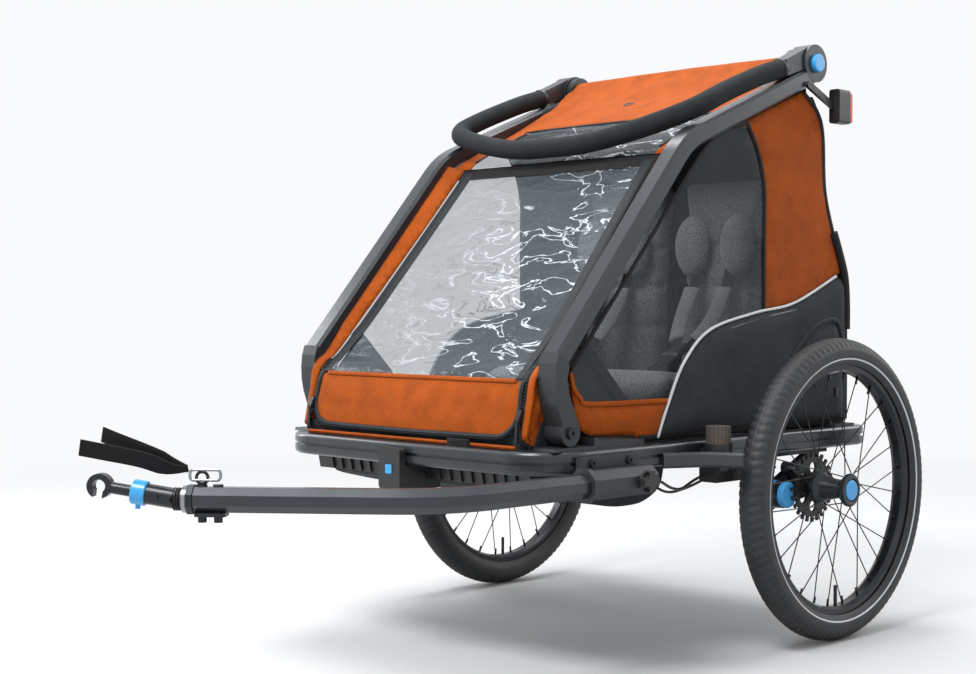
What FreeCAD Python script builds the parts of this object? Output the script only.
"""Two-seat child bicycle trailer: ring base, folding side tubes, sprung wheels, drawbar and canopy.

Millimetres. +Z is up, the trailer faces -Y and its left side is +X. The origin is on the
ground, midway between the wheels and under their axle.
"""
import FreeCAD, Part
import math
import os

from FreeCAD import Matrix, Placement, Vector

# ---- wheels -------------------------------------------------------------------------------
TRACK = 788.0               # distance between the two wheel planes
TYRE_R = 253.0              # outside radius of a 50-406 tyre
TYRE_WIDTH = 50.0
TYRE_CASING = 4.0
RIM_OUTER_R = 209.0
RIM_INNER_R = 196.0
RIM_HALF_WIDTH = 14.0
RIM_WALL = 2.0
SEAT_GAP = 0.3              # clearance between a tyre and its rim
SPOKES_PER_SIDE = 14
SPOKE_R = 1.0
SPOKE_CROSS_DEG = 50.0
SPOKE_CIRCLE_R = 23.5
SPOKE_HEAD_SHIFT = 1.6      # crossing spokes leave opposite faces of their flange
SPOKE_RIM_SHIFT = 0.8
VALVE_R = 3.0
VALVE_LENGTH = 34.0
AXLE_R = 6.0
RUNNING_GAP = 0.05          # radial clearance of every shaft that turns
FACE_GAP = 0.5              # end clearance between turning faces
HUB_INNER_X = 337.0
HUB_OUTER_X = 423.0
HUB_FLANGE_R = 27.5
HUB_FLANGE_THICK = 4.0
HUB_SHELL_R = 14.0
HUB_INNER_FLANGE_X = 362.0
CAP_R = 17.0
CAP_THICK = 9.0
CAP_PROUD = 4.0
CAP_TRAVEL = 3.0
SLIDE_GAP = 0.3             # clearance round buttons and pins that slide
DISC_X = 345.0
DISC_THICK = 4.0
DISC_TOOTH_R = 60.0
DISC_ROOT_R = 51.0
DISC_TEETH = 24
DISC_TOOTH_SHARE = 0.36     # part of each tooth pitch that is metal

# ---- suspension ---------------------------------------------------------------------------
SWING_Y = -60.0             # swing-arm pivot
SWING_Z = 243.0
ARM_X0 = 320.5
ARM_THICK = 11.5
ARM_PIVOT_R = 23.0
ARM_AXLE_R = 19.0
BARREL_R = 23.5
BARREL_X0 = 262.0
BARREL_X1 = 320.0
BARREL_CORE_R = 8.0
BOLT_HEAD_R = 10.0
BOLT_HEAD_OUT = 4.5
CUP_R = 22.0                # elastomer cup over the bolt's head
CUP_LENGTH = 11.5
CUP_ROUNDING = 4.0
HANGER_X0 = 292.0
HANGER_THICK = 12.0
HANGER_EYE_R = 30.0
HANGER_BAR = 22.0
HANGER_FOOT_Y = (-125.0, 75.0)
PIVOT_BOLT_R = 5.0
BRAKE_PIN_R = 4.0
BRAKE_PIN_TRAVEL = 8.0
BRAKE_PIN_CIRCLE_R = 56.0
BRAKE_PIN_LENGTH = 24.0

# ---- base ring ----------------------------------------------------------------------------
RING_HALF_WIDTH = 320.0
RING_SECTION = 34.0
RING_Z0 = 311.0
RING_HEIGHT = 35.0
RING_FRONT_Y = -630.0
RING_BOW = 6.0
RING_REAR_Y = 232.0
RING_FRONT_R = 90.0
RING_REAR_R = 45.0
RING_WALL = 3.5
RING_OUTER_WALL = 8.0
GROOVE_DEPTH = 4.0
GROOVE_HEIGHT = 5.0
FLOOR_THICK = 5.0
FOOTWELL_HALF_WIDTH = 256.0
FOOTWELL_WALL = 3.0

# ---- upper frame --------------------------------------------------------------------------
TUBE_X0 = 264.0
TUBE_WIDTH = 36.0
TUBE_DEPTH = 31.0
TUBE_WALL = 2.5
TUBE_FOOT = (-569.0, 482.0)
TUBE_BEND = (-268.0, 826.0)
TUBE_BEND_R = 150.0
HUB_Y = 78.0                # push-bar pivot
HUB_Z = 983.0
HUB_R = 33.0
FOLD_Y = -555.0             # hinge of the upper frame
FOLD_Z = 372.0
FOOT_R = 20.0
FOOT_BOLT_R = 5.0
TOE_WALL = 7.0
HEAD_THICK = 14.0
CROSS_TUBE_R = 12.0
CROSS_TUBE_WALL = 2.0

# ---- rear struts --------------------------------------------------------------------------
STRUT_FOOT_Y = 150.0
STRUT_FOOT_Z = 362.0
STRUT_LOWER = 230.0
STRUT_BOLT_R = 4.0
STRUT_BAR = 18.0
STRUT_THICK = 8.0
STRUT_LOWER_X = 238.0

# ---- push bar -----------------------------------------------------------------------------
BAR_R = 17.0
BAR_TUBE_R = 11.0
BAR_TUBE_WALL = 2.0
BAR_X = 282.0
BAR_COLLAR_R = 17.0
BAR_SIDE = [(-8.0, 966.0), (-60.0, 951.0), (-160.0, 914.5), (-241.0, 879.0)]
BAR_BOW = [(190.0, -265.0, 852.0), (80.0, -281.0, 832.0)]
BAR_CORNER_R = 55.0
BUTTON_R = 15.5
BUTTON_PROUD = 8.0
BUTTON_TRAVEL = 4.0
PUSH_PIN_R = 8.0

# ---- drawbar and coupling -----------------------------------------------------------------
DRAWBAR_X = 350.0
DRAWBAR_Z = 300.0
DRAWBAR_FLATS = 34.0
DRAWBAR_WALL = 2.5
DRAWBAR_REAR_Y = -445.0
DRAWBAR_CORNER_Y = -850.0
DRAWBAR_BEND_R = 170.0
DRAWBAR_END = (76.0, -1080.0)
SOCKET_WALL = 4.0
SOCKET_Y0 = -585.0
SOCKET_Y1 = -438.0
KNOB_Y = -468.0
KNOB_Z = 300.0
KNOB_PIN_R = 4.0
KNOB_R = 16.5
SOCKET_BOLT_Y = (-545.0, -462.0)
SOCKET_BOLT_Z = 329.0
SOCKET_BOLT_R = 3.0
COUPLING_TILT_DEG = 9.0
FLEX_R = 5.0
FLEX_LENGTH = 20.0
FLEX_KNUCKLE_R = 6.0
FLEX_KNUCKLE_U = 10.0       # distance of the bending axis from the drawbar's end
CLAW_BODY_R = 14.0
CLAW_BODY_LENGTH = 32.0
CLAW_SHAFT_R = 8.0
CLAW_CENTRE_U = 118.0
CLAW_INNER_R = 9.0
CLAW_OUTER_R = 17.0
CLAW_THICK = 16.0
LOCK_RING_LENGTH = 20.0
LOCK_RING_R = 17.0
STRAP_LINE = [(-3, 30), (20, 34), (70, 46), (124, 62), (130, 72), (118, 76), (66, 58), (16, 46), (-3, 40)]
STRAP_WIDTH = 25.0
STRAP_THICK = 2.4

# ---- front wheel socket -------------------------------------------------------------------
SOCKET_HALF_WIDTH = 25.0
SOCKET_DEPTH = 74.0

# ---- brake --------------------------------------------------------------------------------
PEDAL_X = 345.0
PEDAL_Y = -258.0
PEDAL_R = 20.0
PEDAL_TOP_Z = 370.0
PEDAL_TRAVEL = 12.0
GUARD_WIDTH = 20.0
GUARD_HEIGHT = 24.0
GUARD_Z = 320.0
CABLE_R = 2.2

# ---- soft parts ---------------------------------------------------------------------------
SHEET = 3.0                 # thickness of the canopy's fabric solids
WINDOW_SHEET = 1.5
SEAM_GAP = 0.5
CANOPY_HALF_WIDTH = 261.0
PANEL_X = 284.0
FRONT_LINE = [(-612.0, 358.0), (-592.0, 440.0), (-576.0, 464.0), (-525.0, 506.0), (-282.0, 783.0)]
TOP_LINE = [(-250.0, 818.0), (-100.0, 888.0), (56.0, 949.0)]
REAR_LINE = [(64.0, 946.0), (100.0, 912.0), (120.0, 866.0), (127.0, 765.0), (156.0, 686.0),
             (190.0, 612.0), (195.0, 516.0), (195.0, 350.0)]
WINDOW_OUTLINE = [(232.0, 448.0), (206.0, 560.0), (206.0, 770.0)]
SIDE_OUTLINE = [(-390.0, 352.0), (-390.0, 358.0), (-498.0, 364.0), (-524.0, 376.0), (-532.0, 400.0),
                (-543.0, 468.0), (-215.0, 822.0), (-60.0, 888.0),
                (52.0, 932.0), (96.0, 902.0), (114.0, 864.0), (121.0, 764.0), (151.0, 684.0),
                (185.0, 610.0), (189.0, 516.0), (189.0, 352.0)]
SIDE_WINDOW = [(-500.0, 436.0), (-319.0, 410.0), (-62.0, 562.0), (-60.0, 756.0), (-84.0, 806.0),
               (-124.0, 846.0), (-205.0, 812.0), (-512.0, 482.0)]
ZIP_X = 245.0               # the zip's place at its foot
ZIP_Z = 388.0
ZIP_TOP_X = 225.0           # and at its top
ZIP_TOP_Z = 770.0
ZIP_SLOT = 12.0
ZIP_THICK = 7.0
ZIP_WIDTH = 9.0
ZIP_SLOPE_DEG = 64.0        # lean of the slider, between the zip's upright foot and its slope
SEAT_INNER_X = 14.0
SEAT_OUTER_X = 224.0
SEAT_FRONT_Y = -250.0
SEAT_TOP_Z = 452.0
SEAT_BACK_Y = 40.0

OUT = "parts"
ORIGIN = Vector(0, 0, 0)
AXIS_X = Vector(1, 0, 0)
AXIS_Y = Vector(0, 1, 0)
AXIS_Z = Vector(0, 0, 1)


# ---- helpers ------------------------------------------------------------------------------
def block(x0, x1, y0, y1, z0, z1):
    return Part.makeBox(x1 - x0, y1 - y0, z1 - z0, Vector(x0, y0, z0))


def rod(start, direction, length, radius):
    return Part.makeCylinder(radius, length, Vector(*start), Vector(*direction))


def x_rod(x0, x1, y, z, radius):
    return rod((x0, y, z), (1, 0, 0), x1 - x0, radius)


def pipe_x(x0, x1, y, z, outer, inner):
    return x_rod(x0, x1, y, z, outer).cut(x_rod(x0 - 1, x1 + 1, y, z, inner))


def side_prism(points, x0, x1):
    """Polygon given as (y, z) pairs, extruded from x0 to x1."""
    corners = [Vector(x0, y, z) for y, z in points]
    face = Part.Face(Part.makePolygon(corners + corners[:1]))
    return face.extrude(Vector(x1 - x0, 0, 0))


def side_bar(a, b, width, x0, x1):
    """Round-ended bar between two (y, z) points, extruded from x0 to x1."""
    length = math.hypot(b[0] - a[0], b[1] - a[1])
    ny = -(b[1] - a[1]) / length * width / 2
    nz = (b[0] - a[0]) / length * width / 2
    web = side_prism([(a[0] + ny, a[1] + nz), (b[0] + ny, b[1] + nz),
                      (b[0] - ny, b[1] - nz), (a[0] - ny, a[1] - nz)], x0, x1)
    ends = [x_rod(x0, x1, p[0], p[1], width / 2) for p in (a, b)]
    return web.fuse(ends).removeSplitter()


def mirrored(shape):
    return shape.mirror(ORIGIN, AXIS_X)


def both_sides(shape):
    return Part.makeCompound([shape, mirrored(shape)])


def bend(before, corner, after, radius):
    """Tangent points and mid point of the arc of the given radius at a corner."""
    back = (before - corner).normalize()
    ahead = (after - corner).normalize()
    half = back.getAngle(ahead) / 2
    reach = radius / math.tan(half)
    middle = (back + ahead).normalize()
    centre = corner + middle * (radius / math.sin(half))
    return corner + back * reach, centre - middle * radius, corner + ahead * reach


def gentle_radius(before, corner, after):
    """Largest comfortable bend radius at a corner between two runs."""
    run = min((corner - before).Length, (after - corner).Length)
    turn = math.pi - (before - corner).getAngle(after - corner)
    return 0.45 * run / math.tan(turn / 2)


def path(points, radii=None):
    """Open wire of straight runs joined by tangent arcs; radii default to the gentlest."""
    points = [Vector(*p) for p in points]
    edges = []
    last = points[0]
    for i in range(1, len(points) - 1):
        radius = radii[i - 1] if radii else gentle_radius(*points[i - 1:i + 2])
        start, middle, end = bend(points[i - 1], points[i], points[i + 1], radius)
        edges.append(Part.LineSegment(last, start).toShape())
        edges.append(Part.Arc(start, middle, end).toShape())
        last = end
    edges.append(Part.LineSegment(last, points[-1]).toShape())
    return Part.Wire(edges)


def loop(points, radii):
    """Closed wire of straight runs joined by tangent arcs."""
    points = [Vector(*p) for p in points]
    count = len(points)
    bends = [bend(points[i - 1], points[i], points[(i + 1) % count], radii[i]) for i in range(count)]
    edges = []
    for i in range(count):
        start, middle, end = bends[i]
        edges.append(Part.Arc(start, middle, end).toShape())
        edges.append(Part.LineSegment(end, bends[(i + 1) % count][0]).toShape())
    return Part.Wire(edges)


def sweep(wire, section):
    """Solid swept along a wire by a closed section wire placed at its start."""
    return wire.makePipeShell([section], True, False)


def round_sweep(wire, radius):
    start = wire.OrderedEdges[0]
    at = start.valueAt(start.FirstParameter)
    tangent = start.tangentAt(start.FirstParameter)
    circle = Part.Wire(Part.Circle(at, tangent, radius).toShape())
    return sweep(wire, circle)


def polygon_section(at, side, up, outline):
    """Closed wire of (side, up) offsets from a point."""
    corners = [at + side * a + up * b for a, b in outline]
    return Part.makePolygon(corners + corners[:1])


def octagon(flats):
    """Corners of a regular octagon of the given width across flats."""
    radius = flats / 2 / math.cos(math.pi / 8)
    angles = [math.pi / 8 + i * math.pi / 4 for i in range(8)]
    return [(radius * math.cos(a), radius * math.sin(a)) for a in angles]


def revolve_x(points, y, z):
    """Polygon given as (x, radius) pairs, turned about the X axis through (y, z)."""
    corners = [Vector(x, y, z + r) for x, r in points]
    face = Part.Face(Part.makePolygon(corners + corners[:1]))
    return face.revolve(Vector(0, y, z), AXIS_X, 360)


def sheet(points, x0, x1, thickness=SHEET):
    """Thin wall that follows an open (y, z) line, thickened to its left."""
    inner = []
    for i, (y, z) in enumerate(points):
        before = points[max(i - 1, 0)]
        after = points[min(i + 1, len(points) - 1)]
        dy = after[0] - before[0]
        dz = after[1] - before[1]
        length = math.hypot(dy, dz)
        inner.append((y - dz / length * thickness, z + dy / length * thickness))
    return side_prism(points + inner[::-1], x0, x1)


def along(a, b, share):
    return tuple(p + (q - p) * share for p, q in zip(a, b))


def save(name, shape):
    solids = shape.Solids
    body = solids[0] if len(solids) == 1 else Part.makeCompound(solids)
    good = body.isValid() and all(s.Volume > 0 for s in solids)
    body.exportStep(f"{OUT}/{name}.step")
    print(name, len(solids), "solids", round(body.Volume / 1000, 2), "cm3", "ok" if good else "BAD")


# ---- wheels -------------------------------------------------------------------------------
def tyre():
    middle_r = TYRE_R - TYRE_WIDTH / 2
    x = TRACK / 2
    at = Vector(x, 0, TYRE_R + middle_r)
    outer = Part.Face(Part.Wire(Part.Circle(at, AXIS_Y, TYRE_WIDTH / 2).toShape()))
    inner = Part.Face(Part.Wire(Part.Circle(at, AXIS_Y, TYRE_WIDTH / 2 - TYRE_CASING).toShape()))
    half = RIM_HALF_WIDTH + SEAT_GAP
    top = RIM_OUTER_R + SEAT_GAP
    corners = [Vector(x + a, 0, TYRE_R + r) for a, r in
               ((-half, RIM_INNER_R), (half, RIM_INNER_R), (half, top), (-half, top))]
    mouth = Part.Face(Part.makePolygon(corners + corners[:1]))
    section = outer.cut([inner, mouth])
    return section.Faces[0].revolve(Vector(x, 0, TYRE_R), AXIS_X, 360)


def rim():
    x = TRACK / 2
    w = RIM_HALF_WIDTH
    bed = RIM_INNER_R + 4
    outline = [(-w, RIM_OUTER_R), (-w, bed), (-w / 2, RIM_INNER_R), (w / 2, RIM_INNER_R), (w, bed),
               (w, RIM_OUTER_R), (w - RIM_WALL, RIM_OUTER_R), (w - RIM_WALL, bed + RIM_WALL),
               (-w + RIM_WALL, bed + RIM_WALL), (-w + RIM_WALL, RIM_OUTER_R)]
    hoop = revolve_x([(x + a, r) for a, r in outline], 0, TYRE_R)
    valve = rod((x, 0, TYRE_R - RIM_INNER_R), (0, 0, 1), VALVE_LENGTH, VALVE_R)
    return Part.makeCompound([hoop, valve])


def spokes():
    x = TRACK / 2
    axle = Vector(x, 0, TYRE_R)
    flanges = (HUB_OUTER_X - HUB_FLANGE_THICK / 2, HUB_INNER_FLANGE_X + HUB_FLANGE_THICK / 2)
    wires = []
    for side, flange_x in enumerate(flanges):
        for i in range(SPOKES_PER_SIDE):
            at_rim = math.radians((i + side / 2) * 360 / SPOKES_PER_SIDE + 360 / SPOKES_PER_SIDE / 4)
            lean = math.radians(SPOKE_CROSS_DEG) * (1 if i % 2 else -1)
            at_hub = at_rim + lean
            face = 1 if i % 2 else -1
            start = Vector(flange_x + face * SPOKE_HEAD_SHIFT, SPOKE_CIRCLE_R * math.cos(at_hub),
                           TYRE_R + SPOKE_CIRCLE_R * math.sin(at_hub))
            reach = RIM_INNER_R + 1
            end = axle + Vector(face * SPOKE_RIM_SHIFT, reach * math.cos(at_rim), reach * math.sin(at_rim))
            run = end - start
            wires.append(Part.makeCylinder(SPOKE_R, run.Length, start, run))
    return Part.makeCompound(wires)


def hub():
    recess = HUB_OUTER_X - (CAP_THICK - CAP_PROUD) - CAP_TRAVEL - SLIDE_GAP
    bore = AXLE_R + RUNNING_GAP
    inner_flange = HUB_INNER_FLANGE_X
    outline = [(HUB_INNER_X, bore), (HUB_INNER_X, HUB_SHELL_R), (inner_flange, HUB_SHELL_R),
               (inner_flange, HUB_FLANGE_R), (inner_flange + HUB_FLANGE_THICK, HUB_FLANGE_R),
               (inner_flange + HUB_FLANGE_THICK + 8, 21), (recess - 8, HUB_SHELL_R),
               (recess - 3, CAP_R + 4), (HUB_OUTER_X - HUB_FLANGE_THICK, HUB_FLANGE_R),
               (HUB_OUTER_X, HUB_FLANGE_R), (HUB_OUTER_X, CAP_R + SLIDE_GAP),
               (recess, CAP_R + SLIDE_GAP), (recess, bore)]
    return revolve_x(outline, 0, TYRE_R)


def hub_cap():
    x1 = HUB_OUTER_X + CAP_PROUD
    cap = x_rod(x1 - CAP_THICK, x1, 0, TYRE_R, CAP_R)
    return cap.makeFillet(2.5, [e for e in cap.Edges if abs(e.BoundBox.XMin - x1) < 0.01 and
                                e.BoundBox.XLength < 0.01])


def brake_disc():
    pitch = 2 * math.pi / DISC_TEETH
    edge = []
    for i in range(DISC_TEETH):
        middle = i * pitch
        half = pitch * DISC_TOOTH_SHARE / 2
        for angle, radius in ((middle - half, DISC_ROOT_R), (middle - half, DISC_TOOTH_R),
                              (middle + half, DISC_TOOTH_R), (middle + half, DISC_ROOT_R)):
            edge.append((radius * math.cos(angle), TYRE_R + radius * math.sin(angle)))
    plate = side_prism(edge, DISC_X, DISC_X + DISC_THICK)
    plate = plate.cut(x_rod(DISC_X - 1, DISC_X + DISC_THICK + 1, 0, TYRE_R, HUB_SHELL_R))
    for i in range(6):
        angle = (i + 0.5) * math.pi / 3
        y = 33 * math.cos(angle)
        z = TYRE_R + 33 * math.sin(angle)
        plate = plate.cut(x_rod(DISC_X - 1, DISC_X + DISC_THICK + 1, y, z, 9))
    return plate


# ---- suspension ---------------------------------------------------------------------------
def brake_pin_place():
    """Point of the brake pin's axis: level with a gap between two disc teeth."""
    pitch = 2 * math.pi / DISC_TEETH
    angle = math.pi - 2.5 * pitch
    return BRAKE_PIN_CIRCLE_R * math.cos(angle), TYRE_R + BRAKE_PIN_CIRCLE_R * math.sin(angle)


def swing_arm():
    x1 = ARM_X0 + ARM_THICK
    pin_y, pin_z = brake_pin_place()
    arm = side_bar((SWING_Y, SWING_Z), (0, TYRE_R), ARM_AXLE_R * 2, ARM_X0, x1)
    arm = arm.fuse([x_rod(ARM_X0, x1, SWING_Y, SWING_Z, ARM_PIVOT_R),
                    side_bar((0, TYRE_R), (pin_y, pin_z), 20, ARM_X0, x1),
                    x_rod(x1, HUB_INNER_X - FACE_GAP, 0, TYRE_R, HUB_SHELL_R - 2)])
    recess = HUB_OUTER_X - (CAP_THICK - CAP_PROUD) - CAP_TRAVEL - SLIDE_GAP
    axle = x_rod(x1, recess - FACE_GAP, 0, TYRE_R, AXLE_R)
    arm = arm.fuse(axle).removeSplitter()
    arm = arm.cut(x_rod(ARM_X0 - 1, x1 + 1, SWING_Y, SWING_Z, PIVOT_BOLT_R + RUNNING_GAP))
    return arm.cut(x_rod(ARM_X0 - 1, x1 + 1, pin_y, pin_z, BRAKE_PIN_R + RUNNING_GAP))


def brake_pin():
    y, z = brake_pin_place()
    x1 = DISC_X - 2
    return x_rod(x1 - BRAKE_PIN_LENGTH, x1, y, z, BRAKE_PIN_R)


def hanger():
    x1 = HANGER_X0 + HANGER_THICK
    eye = x_rod(HANGER_X0, x1, SWING_Y, SWING_Z, HANGER_EYE_R)
    legs = [side_bar((SWING_Y, SWING_Z), (y, RING_Z0 - 6), HANGER_BAR, HANGER_X0, x1)
            for y in HANGER_FOOT_Y]
    flange = block(HANGER_X0 - 6, x1 + 8, HANGER_FOOT_Y[0] - 22, HANGER_FOOT_Y[1] + 22,
                   RING_Z0 - 6, RING_Z0)
    bracket = eye.fuse(legs + [flange]).removeSplitter()
    above = block(HANGER_X0 - 50, x1 + 50, -400, 400, RING_Z0, RING_Z0 + 60)
    return bracket.cut([above, x_rod(HANGER_X0 - 1, x1 + 1, SWING_Y, SWING_Z, BARREL_R)])


def barrel():
    return pipe_x(BARREL_X0, BARREL_X1, SWING_Y, SWING_Z, BARREL_R, BARREL_CORE_R)


def barrel_cap():
    """Round elastomer cup pressed over the head of the swing arm's bolt."""
    arm_out = ARM_X0 + ARM_THICK
    cup = x_rod(arm_out + 2 * FACE_GAP, arm_out + CUP_LENGTH, SWING_Y, SWING_Z, CUP_R)
    edges = [e for e in cup.Edges if e.Length > CUP_R and e.BoundBox.XMin > arm_out + CUP_LENGTH - 1
             and e.BoundBox.XLength < 0.01]
    cup = cup.makeFillet(CUP_ROUNDING, edges)
    return cup.cut(x_rod(arm_out, arm_out + BOLT_HEAD_OUT, SWING_Y, SWING_Z, BOLT_HEAD_R))


def swing_bolt():
    """Bolt with a sleeve in the barrel and a shank through the swing arm."""
    arm_out = ARM_X0 + ARM_THICK
    sleeve = x_rod(BARREL_X0 - 4, BARREL_X1, SWING_Y, SWING_Z, BARREL_CORE_R)
    shank = x_rod(BARREL_X1, arm_out + 1, SWING_Y, SWING_Z, PIVOT_BOLT_R)
    head = x_rod(arm_out + FACE_GAP, arm_out + BOLT_HEAD_OUT, SWING_Y, SWING_Z, BOLT_HEAD_R)
    return sleeve.fuse([shank, head]).removeSplitter()


# ---- base ---------------------------------------------------------------------------------
def ring_outline(inset, z):
    x = RING_HALF_WIDTH - inset
    front = RING_FRONT_Y + inset
    rear = RING_REAR_Y - inset
    nose = (0, front - RING_BOW, z)
    corners = [(-x, rear, z), (-x, front, z), nose, (x, front, z), (x, rear, z)]
    radii = [RING_REAR_R - inset, RING_FRONT_R - inset, 2000, RING_FRONT_R - inset, RING_REAR_R - inset]
    return Part.Face(loop(corners, radii))


def base_ring():
    band = ring_outline(0, RING_Z0).extrude(Vector(0, 0, RING_HEIGHT))
    middle = RING_Z0 + RING_HEIGHT / 2 - GROOVE_HEIGHT / 2
    groove = ring_outline(-2, middle).extrude(Vector(0, 0, GROOVE_HEIGHT))
    groove = groove.cut(ring_outline(GROOVE_DEPTH, middle).extrude(Vector(0, 0, GROOVE_HEIGHT)))
    rounding = [e for e in band.Edges if e.BoundBox.ZLength < 0.01]
    band = band.makeFillet(7, rounding)
    hole = ring_outline(RING_SECTION, RING_Z0 - 1).extrude(Vector(0, 0, RING_HEIGHT + 2))
    inside = ring_outline(RING_OUTER_WALL, RING_Z0 + RING_WALL)
    channel = inside.extrude(Vector(0, 0, RING_HEIGHT - 2 * RING_WALL))
    return band.cut([groove, hole, channel])


def floor_tub():
    """Flat rear floor, side strips beside the footwell and a ribbed beam in front of it."""
    inner_x = RING_HALF_WIDTH - RING_SECTION - SEAM_GAP
    z0 = RING_Z0 + 4
    z1 = z0 + FLOOR_THICK
    rear = RING_REAR_Y - RING_SECTION - SEAM_GAP
    outline = ring_outline(RING_SECTION + SEAM_GAP, z0).extrude(Vector(0, 0, FLOOR_THICK))
    half = FOOTWELL_HALF_WIDTH + FOOTWELL_WALL + SEAM_GAP
    well = block(-half, half, -558 - SEAM_GAP, -282 + SEAM_GAP, z0 - 1, z1 + 1)
    tub = outline.cut(well)
    beam = side_prism([(-592, z0), (-586, 286), (-562, 286), (-562, z0)], -FOOTWELL_HALF_WIDTH + 6,
                      FOOTWELL_HALF_WIDTH - 6)
    ribs = [block(-inner_x + 20, inner_x - 20, y, y + 5, z0 - 9, z0)
            for y in range(-250, int(rear) - 10, 55)]
    slants = []
    for i in range(-9, 10):
        x = i * 24.0
        slants.append(side_prism([(-596, z0), (-590, 287), (-584, 287), (-584, z0)], x, x + 7))
    front = RING_FRONT_Y - RING_BOW
    half = SOCKET_HALF_WIDTH + SEAM_GAP
    socket_room = block(-half, half, front, front + SOCKET_DEPTH + SEAM_GAP, 260, RING_Z0 + 0.2)
    return tub.fuse([beam] + ribs + slants).cut(socket_room).removeSplitter()


def footwell():
    outer = [(-558, 319), (-548, 276), (-430, 248), (-340, 248), (-300, 268), (-282, 319)]
    inner = [(-554.5, 322), (-545, 278.5), (-429.6, 251), (-340.6, 251), (-302.3, 270.3), (-284.6, 322)]
    x = FOOTWELL_HALF_WIDTH + FOOTWELL_WALL
    shell = side_prism(outer, -x, x)
    return shell.cut(side_prism(inner, -FOOTWELL_HALF_WIDTH, FOOTWELL_HALF_WIDTH))


def frame_toe():
    """V bracket on the rail: a cheek inside the foot of the side tube and a toe behind it."""
    top = RING_Z0 + RING_HEIGHT
    outline = [(FOLD_Y - 42, top), (-395, top), (-395, top + 9), (-500, top + 14),
               (FOLD_Y + 26, FOLD_Z - 2), (FOLD_Y + 20, FOLD_Z + 16), (FOLD_Y, FOLD_Z + 24),
               (FOLD_Y - 24, FOLD_Z + 12)]
    x0 = TUBE_X0 - TOE_WALL
    x1 = TUBE_X0 + TUBE_WIDTH + TOE_WALL
    bracket = side_prism(outline, x0, x1)
    slot = block(TUBE_X0 - FACE_GAP, x1 + 1, FOLD_Y - 60, FOLD_Y + 44,
                 FOLD_Z - FOOT_R - 1, FOLD_Z + 80)
    bore = x_rod(x0 - 1, x1 + 1, FOLD_Y, FOLD_Z, FOOT_BOLT_R)
    return bracket.cut([slot, bore])


def fold_bolt():
    x0 = TUBE_X0 - TOE_WALL
    x1 = TUBE_X0 + TUBE_WIDTH + SLIDE_GAP
    shank = x_rod(x0 - 1, x1 + 1, FOLD_Y, FOLD_Z, FOOT_BOLT_R)
    heads = [x_rod(x1, x1 + 4, FOLD_Y, FOLD_Z, 9), x_rod(x0 - 4, x0, FOLD_Y, FOLD_Z, 9)]
    bolt = shank.fuse(heads).removeSplitter()
    return bolt.cut(x_rod(x1 + 2, x1 + 6, FOLD_Y, FOLD_Z, 3))


def strut_foot():
    """Lug on the inside of the rear rail that carries the lower strut."""
    top = RING_Z0 + RING_HEIGHT
    x1 = RING_HALF_WIDTH - 6
    x0 = STRUT_LOWER_X + STRUT_THICK + FACE_GAP
    base = block(x0, x1, STRUT_FOOT_Y - 30, STRUT_FOOT_Y + 30, top, top + 5)
    ear = side_bar((STRUT_FOOT_Y, STRUT_FOOT_Z), (STRUT_FOOT_Y, top + 12), 24, x0, x0 + 8)
    below = block(x0 - 50, x1 + 50, STRUT_FOOT_Y - 60, STRUT_FOOT_Y + 60, top - 60, top)
    bore = x_rod(x0 - 1, x0 + 9, STRUT_FOOT_Y, STRUT_FOOT_Z, STRUT_BOLT_R)
    return base.fuse(ear).cut([below, bore]).removeSplitter()


def strut_bolt():
    x0 = STRUT_LOWER_X
    x1 = x0 + STRUT_THICK + FACE_GAP + 8
    pin = x_rod(x0 - 1, x1, STRUT_FOOT_Y, STRUT_FOOT_Z, STRUT_BOLT_R)
    return pin.fuse(x_rod(x0 - 4, x0 - FACE_GAP, STRUT_FOOT_Y, STRUT_FOOT_Z, 7)).removeSplitter()


def wheel_guard():
    """Bar that leaves the rail, rounds the brake pedal and ends in front of the tyre."""
    start = (RING_HALF_WIDTH - 3, PEDAL_Y - 108, GUARD_Z)
    wire = path([start, (PEDAL_X + 4, PEDAL_Y - 42, GUARD_Z), (PEDAL_X + 60, PEDAL_Y - 13, GUARD_Z)],
                [40])
    tangent = (Vector(*wire.Vertexes[1].Point) - Vector(*start)).normalize()
    side = tangent.cross(AXIS_Z)
    w = GUARD_WIDTH / 2
    h = GUARD_HEIGHT / 2
    c = 4.0
    outline = [(-w, -h + c), (-w + c, -h), (w - c, -h), (w, -h + c), (w, h - c), (w - c, h),
               (-w + c, h), (-w, h - c)]
    bar = sweep(wire, polygon_section(Vector(*start), side, AXIS_Z, outline))
    rail = block(0, RING_HALF_WIDTH, RING_FRONT_Y, RING_REAR_Y, 0, 2 * GUARD_Z)
    return bar.cut(rail)


def brake_base():
    """Cup that guides the pedal, with the cable box below it and a web to the rail."""
    top = PEDAL_TOP_Z - 28
    cup = rod((PEDAL_X, PEDAL_Y, 300), (0, 0, 1), top - 300, PEDAL_R + 3.5)
    web = block(RING_HALF_WIDTH + SEAM_GAP, PEDAL_X, PEDAL_Y - 14, PEDAL_Y + 14, 312, 334)
    box = block(PEDAL_X - 18, PEDAL_X + 16, PEDAL_Y - 26, PEDAL_Y + 40, 282, 306)
    bore = rod((PEDAL_X, PEDAL_Y, pedal_bottom() - PEDAL_TRAVEL - 1), (0, 0, 1), 80, PEDAL_R + SLIDE_GAP)
    return cup.fuse([web, box]).cut(bore).removeSplitter()


def pedal_bottom():
    return PEDAL_TOP_Z - 36


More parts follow.
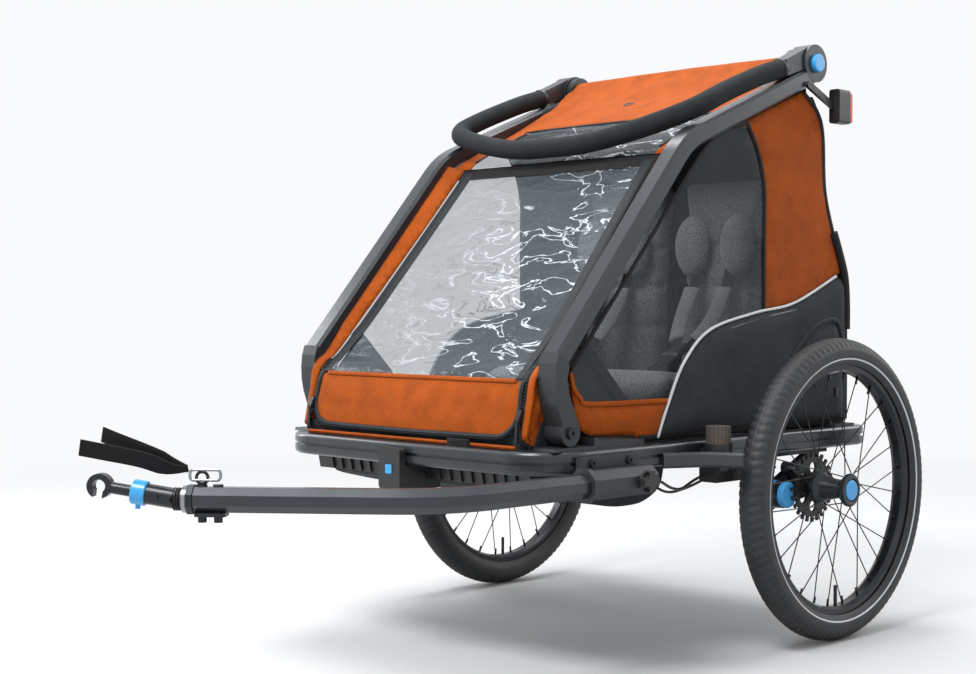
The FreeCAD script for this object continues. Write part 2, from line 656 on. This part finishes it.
def brake_pedal():
    z0 = pedal_bottom()
    pedal = rod((PEDAL_X, PEDAL_Y, z0), (0, 0, 1), PEDAL_TOP_Z - z0, PEDAL_R)
    grooves = []
    for i in range(20):
        angle = i * math.pi / 10
        grooves.append(rod((PEDAL_X + PEDAL_R * math.cos(angle), PEDAL_Y + PEDAL_R * math.sin(angle),
                            z0 + 10), (0, 0, 1), 40, 1.2))
    return pedal.cut(grooves)


def front_socket():
    """Receptacle for a front wheel: a plate before the ring and a block with a round bore."""
    front = RING_FRONT_Y - RING_BOW - SEAM_GAP
    half = SOCKET_HALF_WIDTH
    plate = block(-half, half, front - 13, front, 272, 338)
    plate = plate.makeFillet(7, [e for e in plate.Edges if e.BoundBox.YLength > 12])
    body = block(-half, half, front - 4, front + SOCKET_DEPTH, 271, RING_Z0 - SEAM_GAP)
    whole = plate.fuse(body)
    bore = rod((0, front + 36, 270), (0, 0, 1), 35, 11)
    key = block(-7.5, 7.5, front - 14, front - 13 + 6, 297, 312)
    return whole.cut([bore, key]).removeSplitter()


def socket_button():
    front = RING_FRONT_Y - RING_BOW - SEAM_GAP - 13
    key = block(-7.2, 7.2, front - 1.5, front + 2.5, 297.3, 311.7)
    return key.makeFillet(1.5, [e for e in key.Edges if e.BoundBox.YLength > 3])


# ---- upper frame --------------------------------------------------------------------------
def tube_line():
    """Centre line of a side tube as (y, z) points: foot, bend and head."""
    head = (HUB_Y, TUBE_BEND[1] + (HUB_Y - TUBE_BEND[0]) * 0.40)
    return TUBE_FOOT, TUBE_BEND, head


def side_tube():
    x = TUBE_X0 + TUBE_WIDTH / 2
    foot, corner, head = [(x, y, z) for y, z in tube_line()]
    wire = path([foot, corner, head], [TUBE_BEND_R])
    tangent = (Vector(*corner) - Vector(*foot)).normalize()
    up = AXIS_X.cross(tangent)
    w = TUBE_WIDTH / 2
    d = TUBE_DEPTH / 2
    c = 5.0
    outline = [(-w, -d + c), (-w + c, -d), (w - c, -d), (w, -d + c), (w, d - c), (w - c, d),
               (-w + c, d), (-w, d - c)]
    inner = [(a * (1 - TUBE_WALL / w), b * (1 - TUBE_WALL / d)) for a, b in outline]
    skins = [sweep(wire, polygon_section(Vector(*foot), AXIS_X, up, line)) for line in (outline, inner)]
    eye = x_rod(TUBE_X0 - 1, TUBE_X0 + TUBE_WIDTH + 1, HUB_Y, HUB_Z, HUB_R + 1)
    return skins[0].cut([skins[1], eye])


def tube_foot():
    """Cast knee between the lower end of a side tube and its hinge bolt."""
    x0 = TUBE_X0
    x1 = TUBE_X0 + TUBE_WIDTH
    (fy, fz), (by, bz), _ = tube_line()
    length = math.hypot(by - fy, bz - fz)
    ty, tz = (by - fy) / length, (bz - fz) / length
    half = TUBE_DEPTH / 2
    front = (fy - tz * half, fz + ty * half)
    rear = (fy + tz * half, fz - ty * half)
    outline = [front, (FOLD_Y - 31, FOLD_Z + 104), (FOLD_Y - 33, FOLD_Z + 84), (FOLD_Y - 32, FOLD_Z + 62),
               (FOLD_Y - 28, FOLD_Z + 42), (FOLD_Y - 21, FOLD_Z + 22), (FOLD_Y - 14, FOLD_Z),
               (FOLD_Y + 4, FOLD_Z - 14), (FOLD_Y + 18, FOLD_Z + 6), (FOLD_Y + 12, FOLD_Z + 26),
               (FOLD_Y + 3, FOLD_Z + 42), (FOLD_Y - 4, FOLD_Z + 60), (FOLD_Y - 8, FOLD_Z + 80), rear]
    knee = side_prism(outline, x0, x1)
    knee = knee.fuse(x_rod(x0, x1, FOLD_Y, FOLD_Z, FOOT_R)).removeSplitter()
    return knee.cut(x_rod(x0 - 1, x1 + 1, FOLD_Y, FOLD_Z, FOOT_BOLT_R + RUNNING_GAP))


def tube_head():
    """Plate inside the end of a side tube that carries the push bar's pivot pin."""
    x1 = TUBE_X0
    x0 = x1 - HEAD_THICK
    _, corner, head = tube_line()
    plate = x_rod(x0, x1, HUB_Y, HUB_Z, HUB_R - 4)
    plate = plate.fuse(side_bar((HUB_Y, HUB_Z - 12), along(head, corner, 0.25), 26, x0, x1))
    pin = x_rod(x1, TUBE_X0 + TUBE_WIDTH - 17, HUB_Y, HUB_Z, PUSH_PIN_R)
    return plate.fuse(pin).removeSplitter()


def rear_hub_frame():
    """Both head plates, welded to the cross tube between them."""
    half = TUBE_X0 - HEAD_THICK
    tube = pipe_x(-half, half, HUB_Y, HUB_Z, CROSS_TUBE_R, CROSS_TUBE_R - CROSS_TUBE_WALL)
    return tube.fuse([tube_head(), mirrored(tube_head())]).removeSplitter()


def strut_top():
    return HUB_Y + 2, HUB_Z - 34


def strut_knee():
    top = strut_top()
    foot = (STRUT_FOOT_Y, STRUT_FOOT_Z)
    length = math.hypot(top[0] - foot[0], top[1] - foot[1])
    return along(foot, top, STRUT_LOWER / length)


def lower_strut():
    """Lower half of a rear strut, hinged on the rail."""
    x0 = STRUT_LOWER_X
    x1 = x0 + STRUT_THICK
    foot = (STRUT_FOOT_Y, STRUT_FOOT_Z)
    bar = side_bar(foot, strut_knee(), STRUT_BAR, x0, x1)
    return bar.cut(x_rod(x0 - 1, x1 + 1, foot[0], foot[1], STRUT_BOLT_R + RUNNING_GAP))


def upper_strut():
    x0 = STRUT_LOWER_X - STRUT_THICK - SLIDE_GAP
    x1 = STRUT_LOWER_X - SLIDE_GAP
    bar = side_bar(strut_knee(), strut_top(), STRUT_BAR, x0, x1)
    boss = x_rod(x1, TUBE_X0 - HEAD_THICK - SLIDE_GAP, strut_top()[0], strut_top()[1], 9)
    latch = x_rod(x0 - 5, x0, strut_knee()[0], strut_knee()[1], 13)
    return bar.fuse([boss, latch]).removeSplitter()


def tail_light():
    """Lamp housing behind the left push-bar pivot, on an arm from the side tube's end."""
    case = block(296, 318, 124, 158, 882, 942)
    case = case.makeFillet(5, [e for e in case.Edges if e.BoundBox.YLength > 30])
    arm = side_bar((134, 908), (HUB_Y - 28, HUB_Z - 40), 12, TUBE_X0 + TUBE_WIDTH, TUBE_X0 + TUBE_WIDTH + 6)
    return case.fuse(arm).removeSplitter()


def tail_lens():
    lens = block(297, 317, 158, 166, 884, 940)
    return lens.makeFillet(4, [e for e in lens.Edges if e.BoundBox.YLength > 7])


# ---- push bar -----------------------------------------------------------------------------
def bar_points():
    left = [(BAR_X, y, z) for y, z in BAR_SIDE] + BAR_BOW
    return left + [(-x, y, z) for x, y, z in reversed(left)]


def bar_wire():
    points = bar_points()
    corners = [Vector(*p) for p in points]
    radii = [gentle_radius(*corners[i - 1:i + 2]) for i in range(1, len(points) - 1)]
    radii[2] = BAR_CORNER_R
    radii[-3] = BAR_CORNER_R
    return path(points, radii)


def bar_foam():
    return round_sweep(bar_wire(), BAR_R).cut(round_sweep(bar_wire(), BAR_TUBE_R))


def push_bar_frame():
    """Bent tube inside the foam, welded between the two cast ends."""
    tube = round_sweep(bar_wire(), BAR_TUBE_R).cut(round_sweep(bar_wire(), BAR_TUBE_R - BAR_TUBE_WALL))
    return tube.fuse([bar_end(), mirrored(bar_end())]).removeSplitter()


def bar_end():
    """Cast arm end: round head on the pivot, a neck and the collar round the foam's end."""
    x0 = TUBE_X0 + SLIDE_GAP
    x1 = TUBE_X0 + TUBE_WIDTH
    head = x_rod(x0, x1, HUB_Y, HUB_Z, HUB_R)
    start = BAR_SIDE[0]
    slope = Vector(0, BAR_SIDE[0][0] - BAR_SIDE[1][0], BAR_SIDE[0][1] - BAR_SIDE[1][1]).normalize()
    top = (HUB_Y, HUB_Z + 6)
    neck = side_prism([(start[0] + 6, start[1] - 12), (start[0] + 3, start[1] + 16),
                       (HUB_Y - 14, HUB_Z + 29), top, (HUB_Y - 30, HUB_Z - 12)],
                      BAR_X - 14, BAR_X + 14)
    collar = Part.makeCylinder(BAR_COLLAR_R, 7, Vector(BAR_X, *start), slope)
    whole = head.fuse([neck, collar])
    pin_bore = x_rod(x0 - 1, x1 - 17 + FACE_GAP, HUB_Y, HUB_Z, PUSH_PIN_R + RUNNING_GAP)
    recess = x_rod(x1 - 14, x1 + 1, HUB_Y, HUB_Z, BUTTON_R + SLIDE_GAP)
    return whole.cut([pin_bore, recess]).removeSplitter()


def bar_button():
    x1 = TUBE_X0 + TUBE_WIDTH
    button = x_rod(x1 - 9, x1 + BUTTON_PROUD, HUB_Y, HUB_Z, BUTTON_R)
    rim_edge = [e for e in button.Edges if e.BoundBox.XMin > x1 + BUTTON_PROUD - 0.1]
    return button.makeFillet(2, rim_edge)


# ---- drawbar ------------------------------------------------------------------------------
def drawbar_wire(start_y):
    return path([(DRAWBAR_X, start_y, DRAWBAR_Z), (DRAWBAR_X, DRAWBAR_CORNER_Y, DRAWBAR_Z),
                 (*DRAWBAR_END, DRAWBAR_Z)], [DRAWBAR_BEND_R])


def drawbar_tube():
    wire = drawbar_wire(DRAWBAR_REAR_Y)
    at = Vector(DRAWBAR_X, DRAWBAR_REAR_Y, DRAWBAR_Z)
    skins = [sweep(wire, polygon_section(at, AXIS_X, AXIS_Z, octagon(flats)))
             for flats in (DRAWBAR_FLATS, DRAWBAR_FLATS - 2 * DRAWBAR_WALL)]
    return skins[0].cut(skins[1])


def drawbar_socket():
    """Plate on the left rail with an eight-sided sleeve for the drawbar."""
    at = Vector(DRAWBAR_X, SOCKET_Y0, DRAWBAR_Z)
    outer_flats = DRAWBAR_FLATS + 2 * SOCKET_WALL + 2 * SLIDE_GAP
    sleeve = Part.Face(polygon_section(at, AXIS_X, AXIS_Z, octagon(outer_flats)))
    sleeve = sleeve.extrude(Vector(0, SOCKET_Y1 - SOCKET_Y0, 0))
    plate = block(RING_HALF_WIDTH + SEAM_GAP, RING_HALF_WIDTH + 13, SOCKET_Y0 + 18, SOCKET_Y1,
                  DRAWBAR_Z - 20, DRAWBAR_Z + 38)
    at_bore = Vector(DRAWBAR_X, SOCKET_Y0 - 1, DRAWBAR_Z)
    bore = Part.Face(polygon_section(at_bore, AXIS_X, AXIS_Z, octagon(DRAWBAR_FLATS + 2 * SLIDE_GAP)))
    bore = bore.extrude(Vector(0, DRAWBAR_REAR_Y + SLIDE_GAP - SOCKET_Y0 + 1, 0))
    collar = Part.Face(polygon_section(at, AXIS_X, AXIS_Z, octagon(outer_flats + 7)))
    collar = collar.extrude(Vector(0, 9, 0))
    rail = block(0, RING_HALF_WIDTH + SEAM_GAP, SOCKET_Y0 - 1, SOCKET_Y1 + 1, RING_Z0, 400)
    knob = x_rod(DRAWBAR_X + 10, DRAWBAR_X + 60, KNOB_Y, KNOB_Z, KNOB_PIN_R + RUNNING_GAP)
    holes = [x_rod(RING_HALF_WIDTH, RING_HALF_WIDTH + 14, y, SOCKET_BOLT_Z, SOCKET_BOLT_R)
             for y in SOCKET_BOLT_Y]
    return sleeve.fuse([plate, collar]).cut([bore, rail, knob] + holes).removeSplitter()


def locking_knob():
    x0 = DRAWBAR_X + DRAWBAR_FLATS / 2 + SLIDE_GAP
    face = DRAWBAR_X + DRAWBAR_FLATS / 2 + SLIDE_GAP + SOCKET_WALL + FACE_GAP
    pin = x_rod(x0, face + 1, KNOB_Y, KNOB_Z, KNOB_PIN_R)
    disc = x_rod(face, face + 12, KNOB_Y, KNOB_Z, KNOB_R)
    notches = []
    for i in range(4):
        angle = math.radians(45 + 90 * i)
        notches.append(x_rod(face + 5, face + 13, KNOB_Y + 15 * math.cos(angle),
                             KNOB_Z + 15 * math.sin(angle), 5))
    return pin.fuse(disc).cut(notches).removeSplitter()


def socket_bolt(y):
    outer = RING_HALF_WIDTH + 13
    shank = x_rod(RING_HALF_WIDTH + 1, outer, y, SOCKET_BOLT_Z, SOCKET_BOLT_R)
    head = x_rod(outer, outer + 3.5, y, SOCKET_BOLT_Z, 6)
    return shank.fuse(head).cut(x_rod(outer + 1.5, outer + 5, y, SOCKET_BOLT_Z, 2.6)).removeSplitter()


def coupling_matrix():
    """Frame at the front end of the drawbar: first axis forward along it, third axis up."""
    run = Vector(DRAWBAR_END[0] - DRAWBAR_X, DRAWBAR_END[1] - DRAWBAR_CORNER_Y, 0).normalize()
    side = AXIS_Z.cross(run).normalize()
    x, y = DRAWBAR_END
    return Matrix(run.x, side.x, 0, x, run.y, side.y, 0, y, 0, 0, 1, DRAWBAR_Z, 0, 0, 0, 1)


def at_coupling(shape):
    """Carries a shape from the coupling's own axes to the end of the drawbar."""
    placed = shape.copy()
    placed.Placement = Placement(coupling_matrix()).multiply(placed.Placement)
    return placed


def at_knuckle(shape):
    """The same, tipped up about the knuckle's axis first."""
    tipped = shape.copy()
    tipped.rotate(Vector(FLEX_KNUCKLE_U, 0, 0), AXIS_Y, -COUPLING_TILT_DEG)
    return at_coupling(tipped)


def tongue_bracket():
    """Plate and eye bolted through the drawbar's end, and the band round it."""
    half = DRAWBAR_FLATS / 2
    plate = block(-58, -15.5, -13, 13, -half - 5.5, -half - 0.5)
    plate = plate.makeFillet(3, [e for e in plate.Edges if e.BoundBox.ZLength > 4])
    bolts = []
    for u in (-46.0, -24.0):
        shank = rod((u, 0, half + 0.3), (0, 0, 1), 3, 7)
        nut = rod((u, 0, -half - 14), (0, 0, 1), 8.5, 6)
        bolts += [shank, nut]
    eye = Part.makeTorus(8, 2.2, Vector(-24, 0, half + 12), AXIS_Y)
    stem = rod((-24, 0, half + 2), (0, 0, 1), 4, 3)
    band_face = [Part.Face(polygon_section(Vector(-14, 0, 0), AXIS_Y, AXIS_Z, octagon(f)))
                 for f in (DRAWBAR_FLATS + 5, DRAWBAR_FLATS + 0.2)]
    band = band_face[0].cut(band_face[1]).Faces[0].extrude(Vector(9, 0, 0))
    top = bolts[2].fuse([eye, stem]).removeSplitter()
    return Part.makeCompound([at_coupling(s) for s in [plate, bolts[0], bolts[1], top, bolts[3], band]])


def flex_joint():
    plug = rod((-10, 0, 0), (1, 0, 0), 10.2, DRAWBAR_FLATS / 2 - DRAWBAR_WALL - 1)
    block_end = rod((0.2, 0, 0), (1, 0, 0), 3, 16)
    neck = rod((2, 0, 0), (1, 0, 0), FLEX_KNUCKLE_U - 2, FLEX_R)
    knuckle = rod((FLEX_KNUCKLE_U, -8, 0), (0, 1, 0), 16, FLEX_KNUCKLE_R)
    return at_coupling(plug.fuse([block_end, neck, knuckle]).removeSplitter())


def claw():
    """Rubber-sprung cylinder, shaft and downward-opening hook."""
    start = FLEX_KNUCKLE_U + 3.0
    body = rod((start, 0, 0), (1, 0, 0), FLEX_LENGTH + CLAW_BODY_LENGTH - start, CLAW_BODY_R)
    seat = rod((FLEX_KNUCKLE_U, -20, 0), (0, 1, 0), 40, FLEX_KNUCKLE_R + SLIDE_GAP)
    bolt = rod((38, -CLAW_BODY_R - 4, 0), (0, 1, 0), 2 * CLAW_BODY_R + 8, 5)
    shaft_end = CLAW_CENTRE_U - CLAW_OUTER_R + 3
    shaft = rod((50, 0, 0), (1, 0, 0), shaft_end - 50, CLAW_SHAFT_R)
    hook = rod((CLAW_CENTRE_U, -CLAW_THICK / 2, 0), (0, 1, 0), CLAW_THICK, CLAW_OUTER_R)
    eye = rod((CLAW_CENTRE_U, -CLAW_THICK, 0), (0, 1, 0), 2 * CLAW_THICK, CLAW_INNER_R)
    mouth = block(CLAW_CENTRE_U - 6.5, CLAW_CENTRE_U + 6.5, -CLAW_THICK, CLAW_THICK, -40, 0)
    whole = body.fuse([bolt, shaft, hook]).cut([eye, mouth, seat]).removeSplitter()
    return at_knuckle(whole)


def lock_ring():
    u0 = FLEX_LENGTH + CLAW_BODY_LENGTH + FACE_GAP
    sleeve = rod((u0, 0, 0), (1, 0, 0), LOCK_RING_LENGTH, LOCK_RING_R)
    sleeve = sleeve.makeFillet(2, [e for e in sleeve.Edges if e.BoundBox.XLength < 0.01])
    pin = rod((u0 + 10, 0, -LOCK_RING_R - 5), (0, 0, 1), 8, 3.5)
    bore = rod((u0 - 1, 0, 0), (1, 0, 0), LOCK_RING_LENGTH + 2, CLAW_SHAFT_R + RUNNING_GAP)
    return at_knuckle(sleeve.fuse(pin).cut(bore).removeSplitter())


def safety_strap():
    """Folded webbing loop that leaves the coupling's eye forwards and upwards."""
    wall = []
    count = len(STRAP_LINE)
    for i, (u, w) in enumerate(STRAP_LINE):
        before = STRAP_LINE[max(i - 1, 0)]
        after = STRAP_LINE[min(i + 1, count - 1)]
        du, dw = after[0] - before[0], after[1] - before[1]
        length = math.hypot(du, dw)
        wall.append((u - dw / length * STRAP_THICK, w + du / length * STRAP_THICK))
    corners = [Vector(u, -STRAP_WIDTH / 2, w) for u, w in STRAP_LINE + wall[::-1]]
    face = Part.Face(Part.makePolygon(corners + corners[:1]))
    return at_coupling(face.extrude(Vector(0, STRAP_WIDTH, 0)))


def carabiner():
    half = DRAWBAR_FLATS / 2
    wire = loop([(-50, 3, half + 9), (-8, 3, half + 9), (-8, 3, half + 23), (-50, 3, half + 23)],
                [5, 5, 5, 5])
    ring = round_sweep(wire, 2)
    return at_coupling(ring.cut(Part.makeTorus(8, 2.5, Vector(-24, 0, half + 12), AXIS_Y)))


# ---- cables -------------------------------------------------------------------------------
def cable_routes():
    pin_y, pin_z = brake_pin_place()
    pin_x = DISC_X - 2 - BRAKE_PIN_LENGTH - 10
    left = [(PEDAL_X - 4, PEDAL_Y + 41, 292), (PEDAL_X - 10, PEDAL_Y + 84, 276),
            (PEDAL_X - 22, PEDAL_Y + 118, 262), (pin_x + 4, PEDAL_Y + 150, 270),
            (pin_x, pin_y - 36, pin_z - 12), (pin_x - 2, pin_y - 6, pin_z)]
    right = [(PEDAL_X - 20, PEDAL_Y + 10, 290), (PEDAL_X - 60, PEDAL_Y + 4, 268),
             (PEDAL_X - 118, PEDAL_Y + 18, 250), (PEDAL_X - 178, PEDAL_Y + 44, 262),
             (120, PEDAL_Y + 70, 284), (70, PEDAL_Y + 82, 292), (10, PEDAL_Y + 96, 288),
             (-50, PEDAL_Y + 104, 292), (-110, PEDAL_Y + 116, 288), (-170, PEDAL_Y + 128, 291),
             (-225, PEDAL_Y + 144, 286), (-262, PEDAL_Y + 168, 284),
             (-pin_x + 12, pin_y - 34, pin_z - 8), (-pin_x + 2, pin_y - 4, pin_z)]
    leash = [(DRAWBAR_X + 22, SOCKET_Y1 + 6, 296), (DRAWBAR_X + 8, SOCKET_Y1 + 46, 282),
             (DRAWBAR_X - 6, SOCKET_Y1 + 88, 276), (DRAWBAR_X - 16, SOCKET_Y1 + 124, 284),
             (DRAWBAR_X - 14, PEDAL_Y - 28, 293)]
    return left, right, leash


def cables():
    solids = []
    for route in cable_routes():
        solids.append(round_sweep(path(route), CABLE_R))
    return Part.makeCompound(solids)


# ---- canopy -------------------------------------------------------------------------------
def front_line_at(z):
    """Y of the canopy's front plane at a height between the panel's foot and its top."""
    for (y0, z0), (y1, z1) in zip(FRONT_LINE, FRONT_LINE[1:]):
        if z <= z1:
            return y0 + (y1 - y0) * (z - z0) / (z1 - z0)
    return FRONT_LINE[-1][0]


def window_cutter(gap):
    """Block through the front plane, as wide and high as the window there."""
    right = [(WINDOW_OUTLINE[0][0] + gap, WINDOW_OUTLINE[0][1] - gap),
             (WINDOW_OUTLINE[1][0] + gap, WINDOW_OUTLINE[1][1]),
             (WINDOW_OUTLINE[2][0] + gap, WINDOW_OUTLINE[2][1] + gap)]
    outline = right + [(-x, z) for x, z in reversed(right)]
    corners = [Vector(x, FRONT_LINE[0][0] - 50, z) for x, z in outline]
    face = Part.Face(Part.makePolygon(corners + corners[:1]))
    return face.extrude(Vector(0, 500, 0))


def zip_slot():
    """Straight slot through the front plane in which the zip's slider runs."""
    half = ZIP_SLOT / 2
    outline = [(ZIP_X - half, ZIP_Z - 6), (ZIP_X + half, ZIP_Z - 6), (ZIP_TOP_X + half, ZIP_TOP_Z + 6),
               (ZIP_TOP_X - half, ZIP_TOP_Z + 6)]
    corners = [Vector(x, FRONT_LINE[0][0] - 50, z) for x, z in outline]
    face = Part.Face(Part.makePolygon(corners + corners[:1]))
    return face.extrude(Vector(0, 500, 0))


def front_cover():
    x = CANOPY_HALF_WIDTH
    cover = sheet(FRONT_LINE, -x, x, -SHEET)
    return cover.cut([window_cutter(SEAM_GAP), zip_slot(), mirrored(zip_slot())])


def front_window():
    x = CANOPY_HALF_WIDTH
    return sheet(FRONT_LINE, -x, x, -WINDOW_SHEET).common(window_cutter(0))


def roof():
    x = CANOPY_HALF_WIDTH - HEAD_THICK
    return sheet(TOP_LINE, -x, x)


def side_panel():
    wall = side_prism(SIDE_OUTLINE, PANEL_X, PANEL_X + SHEET)
    opening = side_prism(SIDE_WINDOW, PANEL_X - 1, PANEL_X + SHEET + 1)
    return wall.cut(opening)


def side_window():
    middle_y = sum(p[0] for p in SIDE_WINDOW) / len(SIDE_WINDOW)
    middle_z = sum(p[1] for p in SIDE_WINDOW) / len(SIDE_WINDOW)
    inner = [along(p, (middle_y, middle_z), 0.004) for p in SIDE_WINDOW]
    return side_prism(inner, PANEL_X + 0.5, PANEL_X + 2)


def rear_cover():
    x = PANEL_X + SHEET
    line = [(y, z) for y, z in REAR_LINE[1:]]
    return sheet(line[::-1], -x, x)


def zip_slider():
    """Slider and pull of the front zip, at its lower end."""
    slope = math.radians(ZIP_SLOPE_DEG)
    dy, dz = math.cos(slope), math.sin(slope)
    lift = ZIP_THICK / 2 + 3.4
    low = (front_line_at(ZIP_Z) - dz * lift, ZIP_Z + dy * lift)
    high = (low[0] + dy * 13, low[1] + dz * 13)
    x0 = ZIP_X - ZIP_WIDTH / 2
    body = side_bar(low, high, ZIP_THICK, x0, x0 + ZIP_WIDTH)
    hook = (low[0] - dz * 2, low[1] + dy * 2)
    pull = side_bar(hook, (hook[0] - 2, hook[1] - 34), 3, x0 + 2, x0 + 7)
    return body.fuse(pull).removeSplitter()


# ---- seats --------------------------------------------------------------------------------
def seat_cushion():
    outline = [(SEAT_FRONT_Y, SEAT_TOP_Z - 52), (SEAT_BACK_Y, SEAT_TOP_Z - 82),
               (SEAT_BACK_Y, SEAT_TOP_Z - 26), (SEAT_FRONT_Y + 20, SEAT_TOP_Z),
               (SEAT_FRONT_Y, SEAT_TOP_Z - 18)]
    return side_prism(outline, SEAT_INNER_X, SEAT_OUTER_X)


def seat_back():
    outline = [(SEAT_BACK_Y + 1, SEAT_TOP_Z - 80), (SEAT_BACK_Y + 46, SEAT_TOP_Z - 84),
               (102, 800), (58, 806), (SEAT_BACK_Y - 8, SEAT_TOP_Z + 20), (SEAT_BACK_Y + 1, SEAT_TOP_Z - 20)]
    back = side_prism(outline, SEAT_INNER_X, SEAT_OUTER_X)
    rest = side_prism([(16, 668), (46, 664), (56, 794), (26, 800)], SEAT_INNER_X + 22, SEAT_OUTER_X - 22)
    return Part.makeCompound([back, rest.cut(back)])


def harness():
    straps = []
    for x in (70.0, 142.0):
        line = [(20, 500), (33, 655)]
        straps.append(sheet([(y - 2, z) for y, z in line], x, x + 26, 8))
    return Part.makeCompound(straps)


# ---- output -------------------------------------------------------------------------------
def main():
    os.makedirs(OUT, exist_ok=True)
    save("base_ring", base_ring())
    save("floor_tub", floor_tub())
    save("footwell", footwell())
    save("front_socket", front_socket())
    save("front_socket_button", socket_button())
    save("frame_brackets", Part.makeCompound([both_sides(frame_toe()), both_sides(strut_foot())]))
    save("suspension_hangers", both_sides(hanger()))
    save("elastomer_barrels", both_sides(Part.makeCompound([barrel(), barrel_cap()])))
    save("wheel_guards", both_sides(wheel_guard()))
    save("drawbar_socket", drawbar_socket())
    bolts = [both_sides(swing_bolt()), both_sides(fold_bolt()), both_sides(strut_bolt())]
    save("frame_bolts", Part.makeCompound(bolts + [socket_bolt(y) for y in SOCKET_BOLT_Y]))
    save("cables_and_leash", cables())
    save("brake_base", brake_base())
    save("brake_pedal", brake_pedal())
    sided = (("swing_arm", swing_arm), ("brake_pin", brake_pin), ("tyre", tyre), ("rim", rim),
             ("spokes", spokes), ("hub", hub), ("brake_disc", brake_disc), ("hub_cap", hub_cap),
             ("push_bar_button", bar_button), ("zip_slider", zip_slider))
    for name, make in sided:
        shape = make()
        save(name + "_left", shape)
        save(name + "_right", mirrored(shape))
    save("side_tubes", both_sides(side_tube()))
    save("tube_feet", both_sides(tube_foot()))
    save("rear_hub_frame", rear_hub_frame())
    save("lower_struts", both_sides(lower_strut()))
    save("upper_struts", both_sides(upper_strut()))
    save("tail_light", tail_light())
    save("tail_light_lens", tail_lens())
    save("push_bar_foam", bar_foam())
    save("push_bar_frame", push_bar_frame())
    save("drawbar_tube", drawbar_tube())
    save("tongue_bracket", tongue_bracket())
    save("locking_knob", locking_knob())
    save("coupling_flex", flex_joint())
    save("coupling_claw", claw())
    save("lock_ring", lock_ring())
    save("safety_strap", safety_strap())
    save("carabiner", carabiner())
    save("front_cover", front_cover())
    save("front_window", front_window())
    save("roof", roof())
    save("side_panels", both_sides(side_panel()))
    save("side_windows", both_sides(side_window()))
    save("rear_cover", rear_cover())
    save("seat_cushions", both_sides(seat_cushion()))
    save("seat_backs", both_sides(seat_back()))
    save("harnesses", both_sides(harness()))


main()
